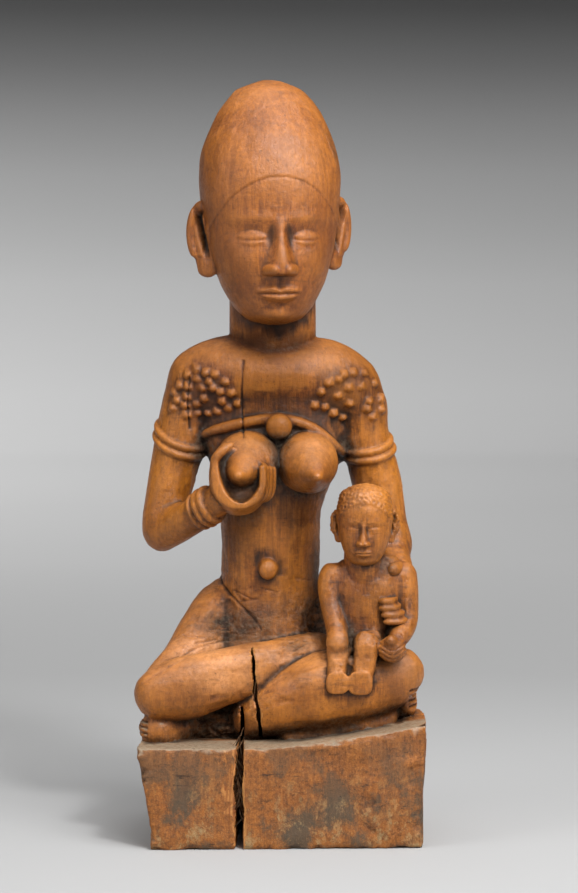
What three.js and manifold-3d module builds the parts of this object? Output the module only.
// A seated mother with a child on her thigh, carved from one block of wood
// together with its base. Millimetres, +Z up, the figure faces -Y.
// The origin is at the middle of the base's underside.

import * as THREE from 'three';
import { mergeVertices } from 'three/addons/utils/BufferGeometryUtils.js';
import Module from 'manifold-3d';

// Driving dimensions

const FIGURE_HEIGHT = 430; // from the figure's seat line to the crown
const BASE_WIDTH = 188.5; // across the front, at the top
const BASE_DEPTH = 160; // front to back
const BASE_HEIGHT = 65; // at the figure's right, where the base is lowest
const BASE_RISE = 16.5; // how much higher the top is at the figure's left
const BASE_YAW = 4; // how far the front face's right end comes forward
const BASE_UNDERCUT = 10.5; // how far the worn right side draws in towards the floor
const SEAT_OVER_BASE = 5; // the seat line lies this far above the base's low end
const SPLIT_PLACE = -0.159; // the drying split's place across the base, in base widths
const SPLIT_WIDTH = 6; // its width at the mouth
const SPLIT_DEPTH = 100; // how far it runs back from the front face
const SHIN_SPLIT_WIDTH = 2.6; // the narrower split in the right shin
const SHIN_SPLIT_DEPTH = 24;

// The figure is laid out in hundredths of its own height: x to its left,
// y to its back, z up from the seat line.

const SHARE = FIGURE_HEIGHT / 100;
const SEAT = BASE_HEIGHT + SEAT_OVER_BASE;
const WOOD = { colour: 0xb0672c, roughness: 0.55, metalness: 0 };
const HEAD_TURN = THREE.MathUtils.degToRad(9);
const CHILD_HEAD_TURN = THREE.MathUtils.degToRad(-4);

const wasm = await Module();
wasm.setup();

// Turning geometry into solids

function solid(geometry) {
  const bare = geometry.clone();
  bare.deleteAttribute('normal');
  bare.deleteAttribute('uv');
  const merged = mergeVertices(bare, 1e-5);
  return new wasm.Manifold(new wasm.Mesh({
    numProp: 3,
    vertProperties: new Float32Array(merged.attributes.position.array),
    triVerts: new Uint32Array(merged.index.array),
  }));
}

function geometryOf(manifold) {
  const mesh = manifold.getMesh();
  const geometry = new THREE.BufferGeometry();
  geometry.setAttribute('position', new THREE.BufferAttribute(mesh.vertProperties, 3));
  geometry.setIndex(new THREE.BufferAttribute(mesh.triVerts, 1));
  geometry.computeVertexNormals();
  return geometry;
}

function joined(geometries) {
  return geometries.map(solid).reduce((whole, piece) => whole.add(piece));
}

function reshape(geometry, rule) {
  const position = geometry.attributes.position;
  const point = new THREE.Vector3();
  for (let i = 0; i < position.count; i += 1) {
    point.fromBufferAttribute(position, i);
    rule(point);
    position.setXYZ(i, point.x, point.y, point.z);
  }
  return geometry;
}

// A ball pulled along a curve. Each station is [x, y, z, half across, half deep]
// and an optional sixth value squashes the side that faces the deep axis.
// A dome is the share of the length that each end takes to round off.

function pulled(stations, settings = {}) {
  const { around = 12, along = 10, deepAxis = [0, 1, 0], dome = [0.14, 0.14], square = 2 } = settings;
  const path = new THREE.CatmullRomCurve3(
    stations.map(([x, y, z]) => new THREE.Vector3(x, y, z)), false, 'centripetal');
  const sizes = new THREE.CatmullRomCurve3(
    stations.map(([, , , across, deep, back = 1]) => new THREE.Vector3(across, deep, back)),
    false, 'centripetal');
  const reference = new THREE.Vector3(...deepAxis);
  const deepWay = new THREE.Vector3();
  const acrossWay = new THREE.Vector3();
  const rounded = (share) => Math.sqrt(Math.max(0, 1 - (1 - Math.min(1, share)) ** 2));
  const squared = (value) => Math.sign(value) * Math.abs(value) ** (2 / square);
  const swell = 1 / Math.sqrt(Math.cos(Math.PI / around)); // so that the facets straddle the round
  return reshape(new THREE.SphereGeometry(1, around, along), (point) => {
    const t = THREE.MathUtils.clamp((1 - point.y) / 2, 0, 1);
    const ring = Math.hypot(point.x, point.z) || 1;
    const cosine = squared(point.x / ring);
    const sine = squared(point.z / ring);
    const end = rounded(t / dome[0]) * rounded((1 - t) / dome[1]);
    const size = sizes.getPoint(t);
    const travel = path.getTangent(t);
    deepWay.copy(reference).addScaledVector(travel, -reference.dot(travel)).normalize();
    acrossWay.crossVectors(deepWay, travel);
    const squash = sine > 0 ? size.z : 1;
    point.copy(path.getPoint(t));
    point.addScaledVector(acrossWay, size.x * swell * end * cosine);
    point.addScaledVector(deepWay, size.y * swell * end * sine * squash);
  });
}

// A round cord laid along a closed loop of points, its tube flattened into the
// surface that it was carved from.

function loopCord(points, radius, centre, settings = {}) {
  const { around = 6, along = 30, up = [0, 0, 1] } = settings;
  const loop = new THREE.CatmullRomCurve3(points, true, 'centripetal');
  const upWay = new THREE.Vector3(...up);
  const outward = new THREE.Vector3();
  const middle = new THREE.Vector3(...centre);
  return reshape(new THREE.TorusGeometry(2, 1, around, along), (point) => {
    const angle = Math.atan2(point.y, point.x);
    const share = (angle / (2 * Math.PI) + 1) % 1;
    const out = Math.hypot(point.x, point.y) - 2;
    const rise = point.z;
    point.copy(loop.getPoint(share));
    outward.copy(point).sub(middle);
    outward.addScaledVector(upWay, -outward.dot(upWay)).normalize();
    point.addScaledVector(outward, out * radius);
    point.addScaledVector(upWay, rise * radius);
  });
}

// Points where rays from an axis leave a form, used to lay cords on it

function wrapped(form, count, rayFor) {
  const mesh = new THREE.Mesh(form, new THREE.MeshBasicMaterial({ side: THREE.DoubleSide }));
  const caster = new THREE.Raycaster();
  const points = [];
  for (let i = 0; i < count; i += 1) {
    const { from, way } = rayFor((2 * Math.PI * i) / count);
    caster.set(from, way);
    const hits = caster.intersectObject(mesh);
    points.push(hits[hits.length - 1].point);
  }
  return points;
}

function turnedAbout(geometry, angle, [x, y]) {
  return geometry.translate(-x, -y, 0).rotateZ(angle).translate(x, y, 0);
}

function mirrored(stations) {
  return stations.map(([x, ...rest]) => [-x, ...rest]);
}

// The mother's trunk

const ALONG_X = { deepAxis: [0, 1, 0] };
const UPRIGHT_DEEP = { deepAxis: [0, 0, 1] };

const TORSO = [
  [-2.2, 3.0, -2, 10.5, 9.5],
  [-2.2, 2.8, 6, 10.4, 9.4],
  [-2.2, 2.5, 13, 9.3, 8.5],
  [-2.2, 2.2, 20, 7.9, 7.4],
  [-2.1, 1.8, 27, 7.6, 7.2],
  [-2.1, 1.8, 34, 8.0, 7.2],
  [-1.8, 1.9, 39.5, 9.4, 7.4],
  [-1.5, 2.1, 45, 12, 7.7],
  [-1.5, 2.3, 51, 12.6, 7.0],
  [-1.8, 2.2, 55.5, 9.6, 6.0],
  [-1.8, 1.8, 59, 6.4, 4.6],
];
const YOKE = [
  [-18.2, 2.2, 50.2, 3.4, 3.6],
  [-14.4, 2.2, 51.7, 6.2, 5.1],
  [-8.5, 2.0, 53.6, 7.2, 6.6],
  [-1.8, 2.0, 53.6, 7.1, 7.3],
  [5.6, 2.0, 53.3, 7.0, 6.6],
  [10.8, 2.2, 51.4, 5.8, 5.4],
  [15.4, 2.2, 49.2, 3.2, 3.6],
];
const NECK = [
  [-1.8, 1.6, 51, 6.9, 6.0],
  [-1.8, 1.2, 59, 6.9, 6.0],
  [-1.8, 1.0, 64, 6.7, 5.9],
  [-1.8, 1.0, 70, 7.2, 6.8],
];
const BREAST = [
  [3.6, -1, 42.4, 4.6, 4.6],
  [3.8, -6.5, 41.4, 4.6, 4.5],
  [4.4, -10.5, 40.5, 3.4, 3.1],
  [4.9, -13.2, 40.0, 1.4, 1.2],
  [5.1, -14.5, 39.9, 0.6, 0.6],
];
const NAVEL = [
  [-2.5, -4.2, 25.2, 1.5, 1.5],
  [-2.5, -6.9, 24.8, 1.35, 1.45],
];

function trunk() {
  const breastSettings = { around: 9, along: 6, ...UPRIGHT_DEEP, dome: [0.1, 0.05] };
  const otherBreast = mirrored(BREAST).map(([x, ...rest]) => [x - 1.9, ...rest]);
  return [
    pulled(TORSO, { around: 14, along: 9, dome: [0.02, 0.08] }),
    pulled(YOKE, { around: 12, along: 8, ...ALONG_X, dome: [0.16, 0.16] }),
    pulled(NECK, { around: 12, along: 3, dome: [0.02, 0.02] }),
    pulled(BREAST, breastSettings),
    pulled(otherBreast, breastSettings),
    pulled(NAVEL, { around: 7, along: 3, ...UPRIGHT_DEEP, dome: [0.1, 0.4] }),
  ];
}

// The mother's head with its tall swept coiffure

const HEAD_AXIS = [-2.2, 0.6];
const HEAD = [
  [0, -3.2, 62.4, 3.2, 2.8],
  [0, -3.0, 65, 5.9, 5.4],
  [0, -2.2, 69, 8.1, 7.7],
  [0, -1.2, 74, 9.6, 9.3],
  [0, -0.2, 79, 10.4, 10.2],
  [0, 0, 84, 10.7, 10.2],
  [0, 0.5, 88, 10.5, 9.5, 0.85],
  [0, 1.3, 91.5, 9.5, 8.2, 0.65],
  [0, 2.1, 95, 7.9, 6.6, 0.5],
  [0, 2.9, 98.2, 5.3, 4.6, 0.45],
  [0, 3.2, 100, 3.2, 2.8, 0.45],
];
const NOSE = [
  [0, -9.3, 77.9, 0.7, 0.8],
  [0, -10.0, 74.8, 0.95, 1.4],
  [0, -10.6, 71.9, 1.8, 2.2],
  [0, -10.2, 70.1, 2.1, 1.7],
];
const EYE = [
  [2.1, -9.3, 75.6, 0.35, 0.6],
  [4.2, -8.95, 75.9, 0.7, 1.1],
  [6.3, -7.6, 75.6, 0.35, 0.6],
];
const BROW = [
  [1.2, -9.2, 77.6, 0.6, 0.5],
  [4.4, -8.9, 78.5, 0.8, 0.6],
  [7.4, -6.9, 77.5, 0.6, 0.5],
];
const UPPER_LIP = [
  [-3.1, -8.6, 67.7, 0.4, 0.5],
  [-1.2, -9.6, 68.5, 0.7, 1.0],
  [0, -9.8, 68.3, 0.6, 1.0],
  [1.2, -9.6, 68.5, 0.7, 1.0],
  [3.1, -8.6, 67.7, 0.4, 0.5],
];
const LOWER_LIP = [
  [-2.9, -8.5, 67.4, 0.4, 0.5],
  [0, -9.5, 66.6, 0.8, 1.1],
  [2.9, -8.5, 67.4, 0.4, 0.5],
];
const EAR_RAISE = 0.9; // the figure's left ear sits this much higher than the right
const EAR_PLATE = [
  [9.4, -1.2, 70.4, 0.9, 1.5],
  [9.9, -0.6, 73, 1.0, 2.1],
  [10.7, 0.2, 77, 1.1, 2.5],
  [10.8, 0.6, 80.2, 1.0, 2.1],
];
const EAR_HOLLOW = [
  [11.0, -2.6, 73.4, 0.8, 0.7],
  [11.8, -1.4, 76, 1.0, 1.2],
  [11.6, -0.6, 79, 0.8, 1.0],
];

function ear(side) {
  const raised = (stations) => stations.map(([x, y, z, ...rest]) => [x, y, z + EAR_RAISE, ...rest]);
  const form = (stations) => (side > 0 ? raised(stations) : mirrored(stations));
  const plate = pulled(form(EAR_PLATE), { around: 8, along: 6, deepAxis: [side * 0.75, 0.66, 0] });
  const hollow = pulled(form(EAR_HOLLOW), { around: 5, along: 4, deepAxis: [side * 0.6, 0.8, 0] });
  return solid(plate).subtract(solid(hollow));
}

function face() {
  const smallForm = { around: 5, along: 5, ...UPRIGHT_DEEP, dome: [0.2, 0.2] };
  return [
    pulled(NOSE, { around: 7, along: 5, dome: [0.05, 0.12] }),
    pulled(EYE, smallForm),
    pulled(mirrored(EYE).reverse(), smallForm),
    pulled(BROW, { ...smallForm, around: 3 }),
    pulled(mirrored(BROW).reverse(), { ...smallForm, around: 3 }),
    pulled(UPPER_LIP, { ...smallForm, around: 4, along: 6 }),
    pulled(LOWER_LIP, { ...smallForm, around: 4 }),
  ];
}

function head() {
  const skull = pulled(HEAD, { around: 16, along: 12, dome: [0.05, 0.09] });
  const whole = joined([skull, ...face()]).add(ear(1)).add(ear(-1));
  const placed = geometryOf(whole).translate(HEAD_AXIS[0], 0, 0);
  return turnedAbout(placed, HEAD_TURN, HEAD_AXIS);
}

// The mother's arms and hands

const RIGHT_UPPER_ARM = [
  [-14.2, 2.2, 54.6, 3.4, 4.2],
  [-14.8, 2.2, 50.6, 4.1, 5.0],
  [-15.7, 2.0, 46, 4.1, 4.8],
  [-16.9, 1.4, 41, 3.8, 4.3],
  [-18.0, 0.6, 36, 3.5, 4.0],
  [-18.7, -0.2, 31.5, 3.5, 3.8],
  [-19.2, -0.8, 26.4, 3.1, 3.0],
];
const RIGHT_FOREARM = [
  [-21.2, 0.8, 28.6, 2.5, 2.8],
  [-17.8, -2.2, 30.9, 2.9, 3.0],
  [-14.2, -5.6, 33.1, 2.7, 2.8],
  [-11, -8.6, 35.3, 2.4, 2.6],
  [-8.4, -10.6, 37.0, 2.4, 2.5],
];
const LEFT_UPPER_ARM = [
  [11.6, 2.2, 53.6, 3.4, 4.0],
  [12.0, 2.2, 50, 4.1, 4.9],
  [12.5, 2.2, 45, 3.8, 4.7],
  [13.8, 2.1, 40.5, 3.9, 4.4],
  [14.7, 1.9, 36, 3.9, 4.2],
  [15.3, 1.5, 31.5, 3.8, 4.2],
  [16.2, 0.7, 28, 4.0, 4.2],
  [16.2, 0.2, 25, 3.6, 3.4],
];
const LEFT_FOREARM = [
  [16.2, 1.6, 27.4, 3.2, 3.6],
  [16.9, -2.6, 25.6, 3.0, 3.2],
  [17.5, -6.4, 23.4, 2.6, 3.0],
  [17.3, -9.4, 20.6, 1.9, 2.5],
];
const PALM = [
  [-8.7, -9.6, 45.2, 0.8, 1.6],
  [-9.9, -10.2, 42.6, 1.0, 2.6],
  [-10.0, -10.6, 39.4, 1.2, 3.2],
  [-9.2, -10.8, 36.8, 1.4, 3.4],
  [-7.2, -10.8, 35.5, 1.4, 3.4],
  [-4.8, -10.6, 36.0, 1.4, 3.2],
  [-3.1, -10.2, 38.0, 1.1, 3.0],
  [-2.6, -9.8, 39.6, 0.8, 2.8],
];
const FINGER_COUNT = 4;
const FINGER_PITCH = 1.35;

function cuppingFingers() {
  const fingers = [];
  for (let i = 0; i < FINGER_COUNT; i += 1) {
    const y = -12.6 + FINGER_PITCH * i;
    const x = 0.45 * i;
    fingers.push(pulled([
      [-4.6 + x, y, 36.0, 0.9, 0.8],
      [-2.9 + x, y, 38.0, 0.9, 0.8],
      [-2.5 + x, y, 41.9 - 0.2 * i, 0.8, 0.75],
    ], { around: 5, along: 3, dome: [0.2, 0.1] }));
  }
  return fingers;
}

function holdingFingers() {
  const fingers = [];
  for (let i = 0; i < FINGER_COUNT; i += 1) {
    const z = 20.5 - 1.0 * i;
    const inner = i === 0 ? 15.4 : 14.9 + 0.25 * i;
    fingers.push(pulled([
      [18.4, -10.4, z + 0.2, 0.6, 0.9],
      [16.8, -12.0, z + 0.1, 0.62, 0.9],
      [inner - 0.7, -12.9, z, 0.58, 0.8],
    ], { around: 5, along: 3, dome: [0.1, 0.25] }));
  }
  const thumb = pulled([
    [17.8, -9.0, 24.9, 0.8, 0.9],
    [16.2, -11.2, 24.2, 0.95, 1.0],
  ], { around: 5, along: 3, ...UPRIGHT_DEEP, dome: [0.2, 0.4] });
  return [...fingers, thumb];
}

function arms() {
  const limb = { around: 10, along: 7, dome: [0.16, 0.14] };
  return [
    pulled(RIGHT_UPPER_ARM, limb),
    pulled(RIGHT_FOREARM, { ...limb, ...UPRIGHT_DEEP, dome: [0.16, 0.1] }),
    pulled(LEFT_UPPER_ARM, limb),
    pulled(LEFT_FOREARM, { ...limb, around: 9, along: 5, ...UPRIGHT_DEEP }),
    pulled(PALM, { around: 6, along: 8, dome: [0.05, 0.05] }),
    ...cuppingFingers(),
    ...holdingFingers(),
  ];
}

// Crossed legs

const RIGHT_THIGH = [
  [-3.5, 6.5, 12, 7.6, 9.2],
  [-8.0, 4.0, 13.0, 6.0, 9.9],
  [-12, 0.2, 11.2, 4.8, 8.2],
  [-15.2, -3.6, 8.9, 3.9, 5.7],
  [-18.5, -7.6, 7.2, 3.5, 4.1],
  [-21.6, -10.4, 6.2, 2.6, 2.8],
];
const RIGHT_SHIN = [
  [-22.9, -10.4, 6.2, 3.2, 3.0],
  [-19, -10.8, 6.6, 3.8, 4.0],
  [-14.6, -10.6, 7.4, 3.9, 4.9],
  [-10, -10.2, 8.5, 3.7, 4.6],
  [-5, -9.0, 9.9, 3.5, 4.0],
  [1.5, -6.8, 11.0, 3.2, 3.6],
  [8.5, -4.4, 12.6, 3.0, 3.3],
];
const LEFT_THIGH = [
  [0, 6.5, 12, 8, 9],
  [5.5, 4.4, 12.4, 7.0, 9.6],
  [11, 0.8, 11.4, 5.6, 7.2],
  [16, -3.2, 10.2, 4.4, 5.0],
  [20.4, -6.8, 9.4, 2.8, 3.2],
];
const LEFT_SHIN = [
  [-9.5, -5.4, 0.6, 2.4, 2.4],
  [-5.5, -7.6, 1.8, 3.6, 3.4],
  [-3.4, -8.6, 2.9, 4.1, 3.7],
  [1.2, -9.8, 5.1, 4.6, 5.0],
  [6.0, -10.0, 6.7, 4.7, 5.9],
  [11.0, -9.6, 7.6, 4.4, 5.9],
  [15.5, -9.0, 8.6, 4.0, 5.3],
  [18.9, -8.0, 9.8, 3.5, 4.2],
  [21.6, -7.4, 10.2, 2.6, 3.0],
];
const LEFT_FOOT = [
  [-22.0, -10.8, 0.6, 3.0, 2.6],
  [-19.2, -10.4, 0.6, 3.6, 3.2],
  [-17.0, -8.4, 0.6, 3.3, 3.0],
  [-14.0, -5.6, 0.8, 3.0, 3.0],
  [-8, -5.0, 1.2, 3.0, 3.0],
  [-2, -5.0, 2, 3.0, 3.0],
];
const RIGHT_FOOT = [
  [12, -2.6, 3.8, 2.6, 3.0],
  [17, -4.4, 4.4, 2.8, 3.1],
  [20.6, -5.2, 4.7, 2.5, 2.8],
];
const LAP = [
  [-1.5, 0.8, -2.5, 16, 9],
  [-1.5, 0.8, 5, 14, 9],
  [-1.5, 1, 13, 9, 7],
];
const TOE_CUTS = 4;
const LEFT_TOES = { place: [-22.4, -12], low: -1.2, high: 3 };
const RIGHT_TOES = { place: [20.9, -7.2], low: 2.4, high: 6.2 };

function toeCuts({ place: [x, y], low, high }) {
  const cuts = [];
  for (let i = 0; i < TOE_CUTS; i += 1) {
    const z = low + ((high - low) * (i + 0.5)) / TOE_CUTS;
    const cut = new THREE.CylinderGeometry(0.42, 0.42, 6, 3);
    cuts.push(cut.translate(x, y, z));
  }
  return joined(cuts);
}

function legs() {
  const thigh = { around: 10, along: 6, ...UPRIGHT_DEEP, dome: [0.05, 0.2] };
  const shin = { around: 10, along: 7, ...UPRIGHT_DEEP, dome: [0.14, 0.08], square: 2.3 };
  const foot = { around: 8, along: 5, ...UPRIGHT_DEEP, dome: [0.16, 0.1], square: 2.4 };
  const leftFoot = solid(pulled(LEFT_FOOT, foot)).subtract(toeCuts(LEFT_TOES));
  const rightFoot = solid(pulled(RIGHT_FOOT, { ...foot, dome: [0.1, 0.16] }))
    .subtract(toeCuts(RIGHT_TOES));
  const rest = joined([
    pulled(LAP, { around: 8, along: 3, dome: [0.02, 0.2] }),
    pulled(RIGHT_THIGH, thigh),
    pulled(RIGHT_SHIN, shin),
    pulled(LEFT_THIGH, thigh),
    pulled(LEFT_SHIN, { ...shin, dome: [0.1, 0.12] }),
  ]);
  return geometryOf(rest.add(leftFoot).add(rightFoot));
}

// The child on the mother's left thigh

const CHILD_AXIS = [12.3, -10.3];
const CHILD_HEAD = [
  [0, -1.8, 26.1, 1.8, 1.4],
  [0, -1.4, 28.2, 3.1, 2.8],
  [0, -0.6, 31, 4.0, 3.9],
  [0, 0, 34, 4.25, 4.4],
  [0, 0.2, 36.6, 3.8, 4.0],
  [0, 0.3, 38.45, 2.6, 2.8],
];
const CHILD_NOSE = [
  [0, -4.1, 33.0, 0.35, 0.4],
  [0, -4.4, 31.4, 0.5, 0.8],
  [0, -4.5, 30.0, 0.95, 0.9],
];
const CHILD_EYE = [
  [0.8, -4.25, 32.3, 0.2, 0.3],
  [1.8, -4.05, 32.4, 0.3, 0.5],
  [2.7, -3.5, 32.3, 0.2, 0.3],
];
const CHILD_LIPS = [
  [-1.4, -3.5, 28.7, 0.3, 0.3],
  [0, -4.1, 28.7, 0.5, 0.75],
  [1.4, -3.5, 28.7, 0.3, 0.3],
];
const CHILD_EAR = [
  [3.7, -0.3, 29.6, 0.6, 0.8],
  [4.2, 0, 31.8, 0.7, 1.2],
  [4.3, 0.3, 33.8, 0.6, 1.1],
];
const CHILD_NECK = [
  [12.2, -9.6, 21, 3.3, 2.8],
  [12.2, -9.9, 29, 3.3, 3.2],
];
const CHILD_TORSO = [
  [12.2, -8.2, 9.5, 4.8, 3.8],
  [12.1, -8.6, 14, 4.9, 3.9],
  [12.3, -8.8, 18.5, 5.1, 3.8],
  [12.7, -8.8, 22.6, 6.0, 3.5],
  [12.7, -8.6, 25.6, 5.6, 3.0],
  [12.5, -8.6, 27.6, 3.6, 2.4],
];
const CHILD_RIGHT_ARM = [
  [8.4, -8.6, 26.0, 2.2, 2.2],
  [7.1, -9.2, 23.4, 2.0, 2.1],
  [7.3, -10.4, 19.6, 1.7, 1.8],
  [8.0, -12.4, 16.4, 1.6, 1.7],
  [8.1, -13.8, 14.6, 1.8, 1.7],
  [7.9, -14.0, 12.8, 1.3, 1.3],
];
const CHILD_LEFT_ARM = [
  [17.4, -8.2, 26.4, 2.6, 2.5],
  [18.2, -8.4, 23.2, 2.3, 2.3],
  [18.7, -8.8, 19.6, 1.9, 2.1],
  [18.7, -9.8, 16.8, 1.9, 1.9],
  [17.7, -12.2, 15.2, 1.8, 1.8],
  [16.6, -13.6, 14.4, 1.7, 1.7],
];
const CHILD_LEFT_FIST = [
  [16.5, -13.5, 15.6, 2.2, 1.8],
  [16.3, -14.4, 11.6, 2.2, 1.9],
];
const CHILD_RIGHT_LEG = [
  [9.6, -9, 13.0, 2.2, 2.2],
  [8.4, -12.6, 13.2, 1.9, 1.9],
  [8.1, -13.6, 11.4, 1.5, 1.6],
  [8.0, -13.9, 9.8, 1.5, 1.5],
  [8.0, -14.1, 7.4, 1.6, 1.5],
];
const CHILD_LEFT_LEG = [
  [13.6, -9, 13.4, 2.2, 2.2],
  [12.6, -12.85, 14.5, 2.05, 2.0],
  [12.1, -13.8, 12.0, 1.55, 1.6],
  [11.6, -14.0, 9.8, 1.6, 1.5],
  [11.5, -14.1, 7.4, 1.7, 1.5],
];
const CHILD_SOLES = [
  // [x and z of the middle, half across, half up]
  [8.05, 8.6, 1.65, 1.6],
  [11.55, 8.7, 1.8, 1.75],
];
const CHILD_SEAT = [
  [10.4, -8.5, 7.0, 3.2, 3.0],
  [10.2, -10.6, 12.0, 2.8, 2.4],
];

function childHead() {
  const small = { around: 4, along: 3, ...UPRIGHT_DEEP, dome: [0.2, 0.2] };
  const features = [
    pulled(CHILD_HEAD, { around: 11, along: 7, dome: [0.08, 0.16] }),
    pulled(CHILD_NOSE, { around: 5, along: 3, dome: [0.05, 0.12] }),
    pulled(CHILD_EYE, small),
    pulled(mirrored(CHILD_EYE).reverse(), small),
    pulled(CHILD_LIPS, small),
    pulled(CHILD_EAR, { around: 5, along: 4, deepAxis: [0.75, 0.66, 0] }),
    pulled(mirrored(CHILD_EAR), { around: 5, along: 4, deepAxis: [-0.75, 0.66, 0] }),
  ];
  const placed = geometryOf(joined(features)).translate(...CHILD_AXIS, 0);
  return turnedAbout(placed, CHILD_HEAD_TURN, CHILD_AXIS);
}

function child() {
  const limb = { around: 7, along: 5, dome: [0.14, 0.14] };
  const leg = { around: 8, along: 5, dome: [0.1, 0.01], square: 2.8 };
  return [
    childHead(),
    pulled(CHILD_NECK, { around: 8, along: 3, dome: [0.02, 0.02] }),
    pulled(CHILD_TORSO, { around: 10, along: 5, dome: [0.04, 0.1] }),
    pulled(CHILD_RIGHT_ARM, limb),
    pulled(CHILD_LEFT_ARM, limb),
    pulled(CHILD_LEFT_FIST, { around: 7, along: 4, dome: [0.5, 0.5] }),
    pulled(CHILD_RIGHT_LEG, leg),
    pulled(CHILD_LEFT_LEG, leg),
    pulled(CHILD_SEAT, { around: 8, along: 4 }),
    ...CHILD_SOLES.map(([x, z, across, up]) => pulled([
      [x, -12.5, z, across, up],
      [x, -15.7, z, across, up],
    ], { around: 10, along: 4, ...UPRIGHT_DEEP, dome: [0.2, 0.03], square: 2.5 })),
  ];
}

// Carved ornament: the chest cord with its bead, the arm bands, the bracelets
// and the raised scars on both shoulders

const CORD_RADIUS = 0.85;
const BAND_RADIUS = 0.7;
const CHEST_CORD = { axis: [-1.6, 1.5], height: 44.4, rise: 3.6 };
const RIGHT_BANDS = { middle: [-16.0, 1.8, 44.6], way: [0.36, -0.36, 1], offsets: [-0.7, 0.65] };
const LEFT_BANDS = { middle: [13.1, 2.1, 43.4], way: [-0.16, -0.3, 1], offsets: [-0.7, 0.65] };
const BRACELETS = { middle: [-11.9, -7.8, 34.7], way: [0.78, -0.6, 0.5], offsets: [-1.6, -0.3, 1.0] };
const CORD_BEAD = [
  [-0.8, -4.6, 47.0, 2.0, 2.0],
  [-0.8, -7.6, 46.8, 2.15, 2.05],
];

function chestCord(chest) {
  const { axis, height, rise } = CHEST_CORD;
  const points = wrapped(chest, 16, (angle) => ({
    from: new THREE.Vector3(...axis, height - rise * Math.sin(angle)),
    way: new THREE.Vector3(Math.cos(angle), Math.sin(angle), 0),
  }));
  return loopCord(points, CORD_RADIUS, [...axis, height], { around: 4, along: 16 });
}

function limbCords(limb, { middle, way, offsets }) {
  const up = new THREE.Vector3(...way).normalize();
  const sideWay = new THREE.Vector3(0, 1, 0).cross(up).normalize();
  const backWay = new THREE.Vector3().crossVectors(up, sideWay);
  return offsets.map((offset) => {
    const from = new THREE.Vector3(...middle).addScaledVector(up, offset);
    const points = wrapped(limb, 10, (angle) => ({
      from,
      way: sideWay.clone().multiplyScalar(Math.cos(angle)).addScaledVector(backWay, Math.sin(angle)),
    }));
    return loopCord(points, BAND_RADIUS, from.toArray(), { around: 3, along: 10, up: up.toArray() });
  });
}

const SCAR_ROWS = [
  // [x and z of the first scar, x and z of the last, how many]
  [-13.5, 55.6, -10.6, 54.9, 3],
  [-14.8, 54.5, -9.1, 53.8, 4],
  [-16.1, 53.2, -8.0, 52.2, 5],
  [-16.9, 51.8, -9.3, 51.1, 5],
  [-16.5, 50.4, -7.3, 50.4, 6],
  [-15.2, 48.9, -10.0, 49.2, 4],
  [4.6, 50.3, 6.9, 53.7, 3],
  [8.3, 54.2, 12.3, 55.0, 4],
  [6.3, 49.9, 9.9, 52.8, 4],
  [11.9, 53.0, 13.9, 53.4, 2],
  [7.5, 48.9, 10.0, 50.6, 2],
  [13.0, 50.8, 15.0, 51.1, 2],
  [12.6, 49.5, 15.1, 49.5, 2],
];
const LONE_SCARS = [[9.0, 48.1], [13.8, 48.2]];

function scars(body) {
  const mesh = new THREE.Mesh(body, new THREE.MeshBasicMaterial());
  const caster = new THREE.Raycaster();
  body.computeBoundingBox();
  const inFront = body.boundingBox.min.y - 1;
  const places = [...LONE_SCARS];
  for (const [x0, z0, x1, z1, count] of SCAR_ROWS) {
    for (let i = 0; i < count; i += 1) {
      const share = i / (count - 1);
      places.push([THREE.MathUtils.lerp(x0, x1, share), THREE.MathUtils.lerp(z0, z1, share)]);
    }
  }
  return places.flatMap(([x, z]) => {
    caster.set(new THREE.Vector3(x, inFront, z), new THREE.Vector3(0, 1, 0));
    const [hit] = caster.intersectObject(mesh);
    if (!hit) return [];
    const way = hit.face.normal.clone().lerp(new THREE.Vector3(0, -1, 0), 0.4).normalize();
    const root = hit.point.clone().addScaledVector(way, -0.5);
    const tip = hit.point.clone().addScaledVector(way, 0.62);
    return pulled([
      [...root.toArray(), 0.9, 0.9],
      [...tip.toArray(), 0.9, 0.9],
    ], { around: 4, along: 2, ...UPRIGHT_DEEP, dome: [0.1, 0.1] });
  });
}

// The base and the splits that run up from it

function baseTop(x) {
  const along = Math.max(0, (x + 0.11 * BASE_WIDTH) / (0.59 * BASE_WIDTH));
  return BASE_HEIGHT + BASE_RISE * along ** 1.5;
}

function base() {
  const block = new THREE.BoxGeometry(1, 1, 1, 7, 3, 3);
  return reshape(block, (point) => {
    const across = point.x * 2;
    const back = point.y + 0.5;
    const height = point.z + 0.5;
    const plan = 1 - 0.24 * back ** 3;
    const wear = Math.sin((Math.PI / 2) * Math.min(1, (1 - height) / 0.95)) ** 1.2;
    const undercut = across < 0 ? BASE_UNDERCUT * wear * across ** 2 : 0;
    const drift = -0.01 * BASE_WIDTH * (1 - Math.min(1, 3.3 * back));
    const x = across * (BASE_WIDTH / 2) * plan + drift + undercut;
    const bulge = 0.05 * BASE_DEPTH * back * across ** 4;
    const yaw = BASE_YAW * across * (1 - back);
    point.set(x, point.y * BASE_DEPTH - bulge + yaw, height * baseTop(x));
  });
}

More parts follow.
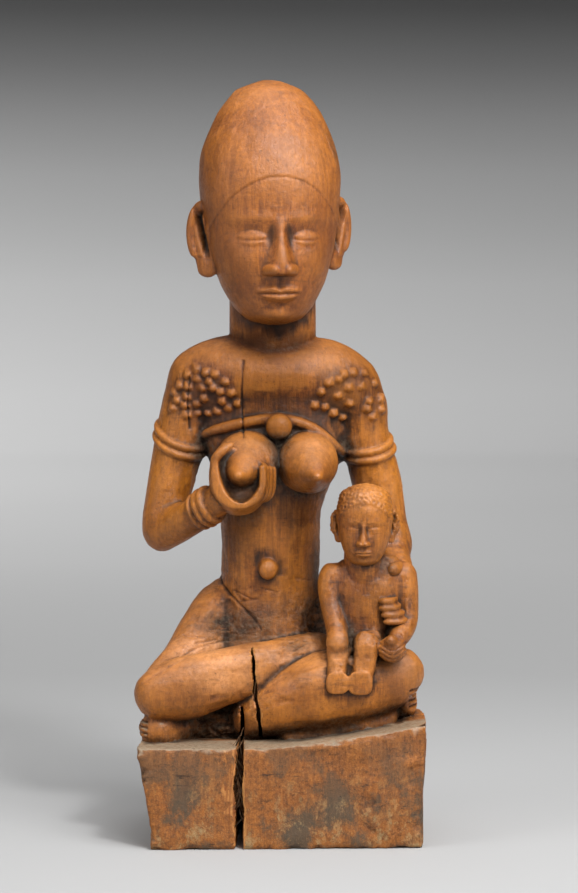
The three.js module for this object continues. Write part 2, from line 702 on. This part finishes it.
function blade(low, high, width, depth, front, lean) {
  const sheet = new THREE.BoxGeometry(1, 1, 1, 1, 1, 5);
  return reshape(sheet, (point) => {
    const back = point.y + 0.5;
    const height = point.z + 0.5;
    const closing = (1 - 0.82 * back) * (1 - 0.55 * height ** 6);
    const wander = 0.12 * width * Math.sin(9 * height) + lean * height;
    point.set(
      low[0] + wander + point.x * width * closing,
      front + back * depth,
      THREE.MathUtils.lerp(low[1], high, height),
    );
  });
}

function inMillimetres(geometry) {
  return geometry.scale(SHARE, SHARE, SHARE).translate(0, 0, SEAT);
}

// Putting it together

function figure() {
  const bodyParts = [...trunk(), head(), ...arms(), legs(), ...child()];
  const body = joined(bodyParts);
  const bodyForm = geometryOf(body);
  const chest = geometryOf(joined([
    pulled(TORSO, { around: 14, along: 9, dome: [0.02, 0.08] }),
    pulled(YOKE.slice(1, 6), { around: 16, along: 10, ...ALONG_X, dome: [0.1, 0.1] }),
  ]));
  const limb = { around: 10, along: 7, dome: [0.16, 0.14] };
  const rightArm = pulled(RIGHT_UPPER_ARM, limb);
  const leftArm = pulled(LEFT_UPPER_ARM, limb);
  const forearm = pulled(RIGHT_FOREARM, { ...limb, ...UPRIGHT_DEEP });
  const ornament = [
    chestCord(chest),
    pulled(CORD_BEAD, { around: 8, along: 4, ...UPRIGHT_DEEP, dome: [0.1, 0.5] }),
    ...limbCords(rightArm, RIGHT_BANDS),
    ...limbCords(leftArm, LEFT_BANDS),
    ...limbCords(forearm, BRACELETS),
    ...scars(bodyForm),
  ];
  return body.add(joined(ornament));
}

function carving() {
  const whole = solid(inMillimetres(geometryOf(figure()))).add(solid(base()));
  const front = -BASE_DEPTH / 2 - 5;
  const baseSplit = blade([SPLIT_PLACE * BASE_WIDTH, -5], SEAT + 4.4 * SHARE, SPLIT_WIDTH,
    SPLIT_DEPTH, front, 2);
  const shinSplit = blade([-15.5, SEAT - 0.4 * SHARE], SEAT + 13.4 * SHARE, SHIN_SPLIT_WIDTH,
    SHIN_SPLIT_DEPTH + 5 + 14 * SHARE, -14 * SHARE - 8, -6);
  return whole.subtract(solid(baseSplit)).subtract(solid(shinSplit));
}

const material = new THREE.MeshStandardMaterial({
  color: WOOD.colour,
  roughness: WOOD.roughness,
  metalness: WOOD.metalness,
});
const maternityFigure = new THREE.Mesh(geometryOf(carving()), material);
maternityFigure.name = 'maternity_figure';

const group = new THREE.Group();
group.add(maternityFigure);

export default group;
